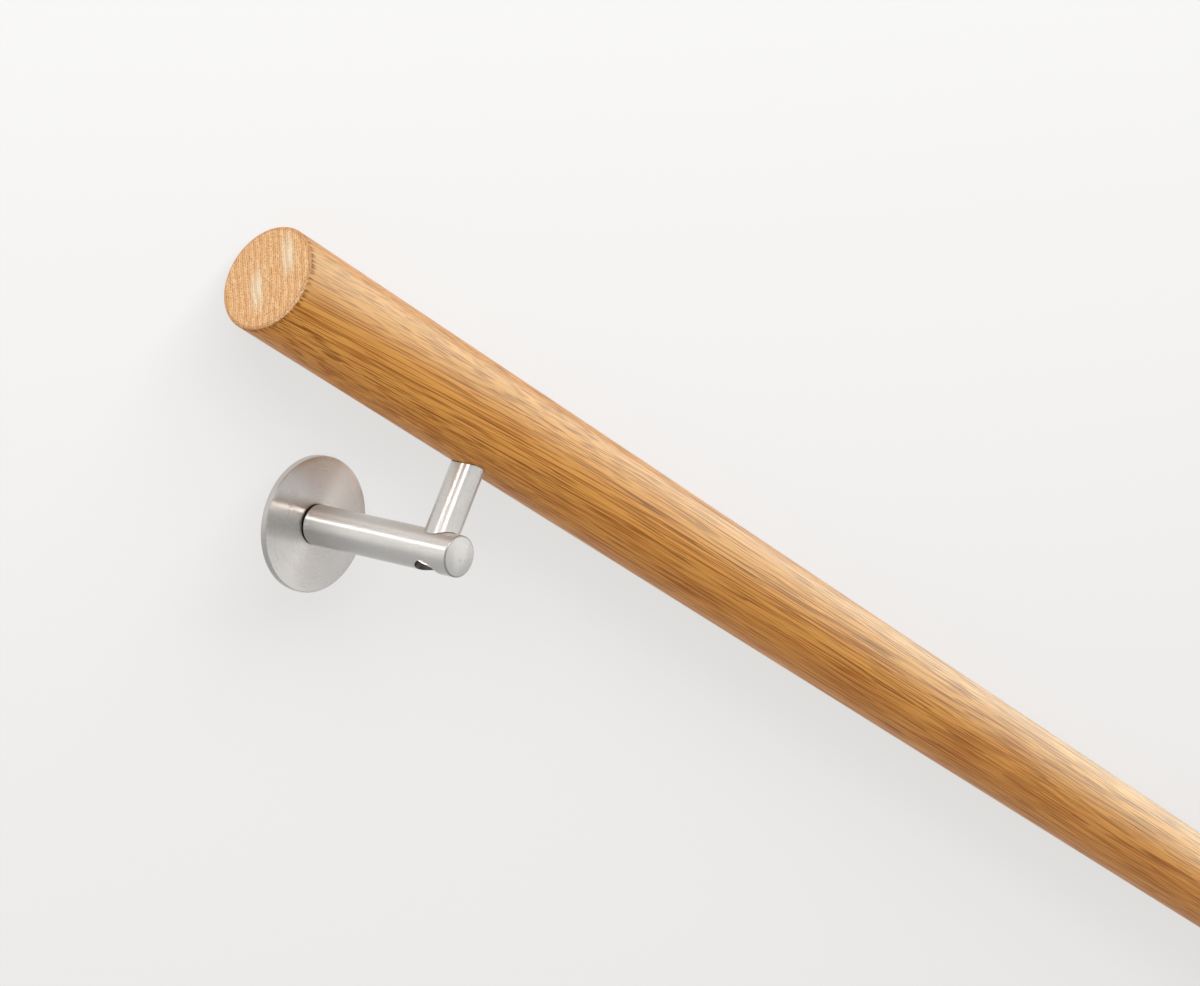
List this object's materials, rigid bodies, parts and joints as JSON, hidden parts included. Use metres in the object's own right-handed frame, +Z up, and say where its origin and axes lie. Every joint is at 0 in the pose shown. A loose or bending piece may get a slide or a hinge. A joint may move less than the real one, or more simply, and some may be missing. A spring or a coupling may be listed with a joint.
{
  "type": "stair handrail",
  "caption": "Round oak stair handrail on stainless steel wall brackets, each a flat wall disc, a round arm and a stem coped to the rail's underside.",
  "frame": {"origin": "on the floor, at the middle of the box that holds the handrail", "axes": "+X along the rail, +Y from the rail towards the wall discs, +Z up; the handrail is off its wall and lies on the side of the rail and the rims of the discs"},
  "size_m": [1.2, 0.138, 0.086],
  "materials": {
    "oak": "satin oiled oak with fine open pores",
    "stainless_steel": "satin brushed stainless steel",
    "screw_steel": "plain stainless steel fasteners"
  },
  "bodies": {
    "root": {"rail": "oak", "wall_disc_1": "stainless_steel", "arm_1": "stainless_steel", "stem_1": "stainless_steel", "stem_screw_1": "screw_steel", "hanger_bolt_1": "screw_steel", "wall_disc_2": "stainless_steel", "arm_2": "stainless_steel", "stem_2": "stainless_steel", "stem_screw_2": "screw_steel", "hanger_bolt_2": "screw_steel"}
  },
  "joints": []
}
